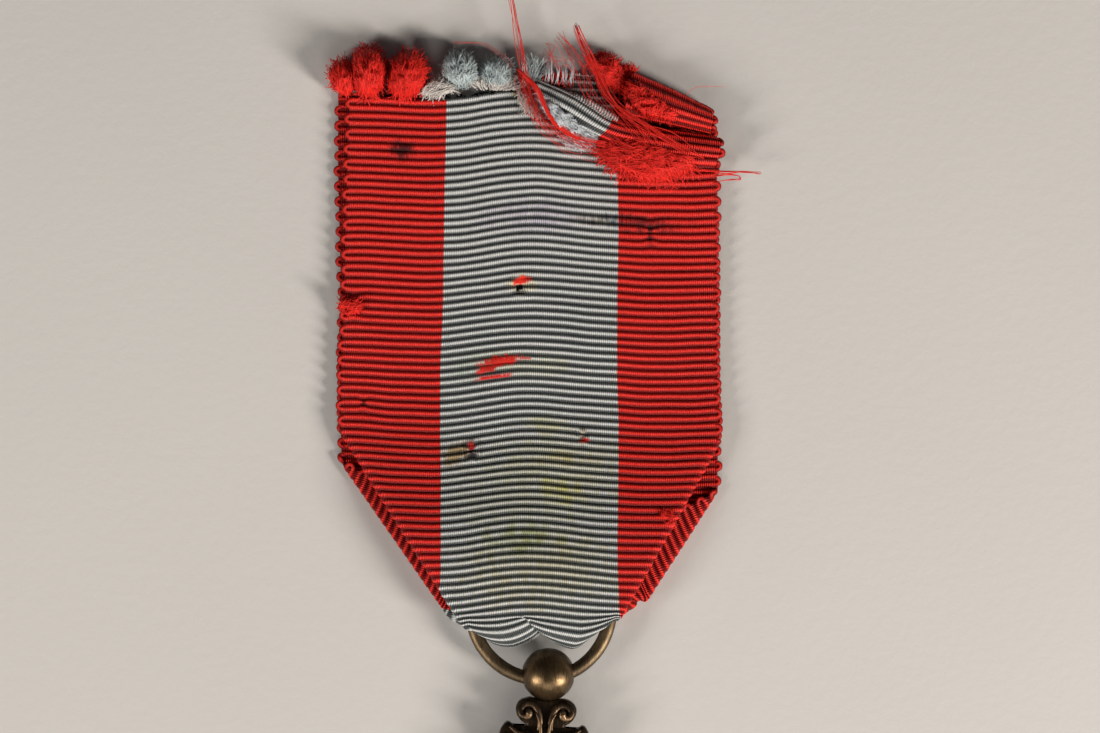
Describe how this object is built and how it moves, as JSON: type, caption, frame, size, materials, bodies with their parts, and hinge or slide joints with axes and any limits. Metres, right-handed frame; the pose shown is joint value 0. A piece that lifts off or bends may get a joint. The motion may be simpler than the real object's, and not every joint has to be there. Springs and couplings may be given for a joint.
{
  "type": "military service medal",
  "caption": "Service medal lying flat: a worn ribbed silk ribbon doubled through a ring, with a pierced ball, a scrolled bracket and a round framed medal with wreath, swords and star.",
  "frame": {"origin": "middle of the footprint, on the surface that the medal lies on", "axes": "+X across the ribbon, +Y up the ribbon away from the medal, +Z out of the medal's front"},
  "size_m": [0.0376, 0.1032, 0.0052],
  "materials": {
    "red_silk": "ribbed silk, scarlet, worn",
    "grey_silk": "ribbed silk, silver grey, stained",
    "aged_bronze": "bronze, brushed and patinated brown",
    "dark_bronze": "bronze, dull and dark"
  },
  "bodies": {
    "ribbon": {"ribbon_front": "red_silk", "ribbon_back": "red_silk", "fray_front_left": "red_silk", "fray_front_centre": "grey_silk", "fray_front_tear": "red_silk", "fray_back": "red_silk"},
    "loop": {"ribbon_taper_front": "red_silk", "ribbon_taper_back": "red_silk", "ribbon_tuck_left": "red_silk", "ribbon_tuck_right": "red_silk", "ribbon_fold": "grey_silk"},
    "ring": {"suspension_ring": "aged_bronze"},
    "medal": {"suspension_ball": "aged_bronze", "ball_peg": "dark_bronze", "scroll_bracket": "aged_bronze", "bracket_key": "dark_bronze", "rim_frame": "aged_bronze", "planchet": "aged_bronze", "retaining_ring": "dark_bronze", "wreath_left": "aged_bronze", "wreath_right": "aged_bronze", "wreath_knot": "aged_bronze", "crossed_swords": "aged_bronze", "centre_star": "aged_bronze", "star_rivet": "dark_bronze"}
  },
  "joints": [
    {"name": "ribbon_flex", "type": "hinge", "parent": "ribbon", "child": "loop", "pos_m": [0.0003, 0.01458, 0.00095], "axis": [-1, 0, 0], "range_deg": [0, 80]},
    {"name": "ring_turn", "type": "hinge", "parent": "loop", "child": "ring", "pos_m": [0.0015, -0.00372, 0.00218], "axis": [0, 0.0609, 0.9981], "range_deg": [-22, 8]},
    {"name": "medal_swing", "type": "hinge", "parent": "ring", "child": "medal", "pos_m": [0.00222, -0.01007, 0.0026], "axis": [-0.9936, -0.1132, 0], "range_deg": [0, 110]}
  ]
}
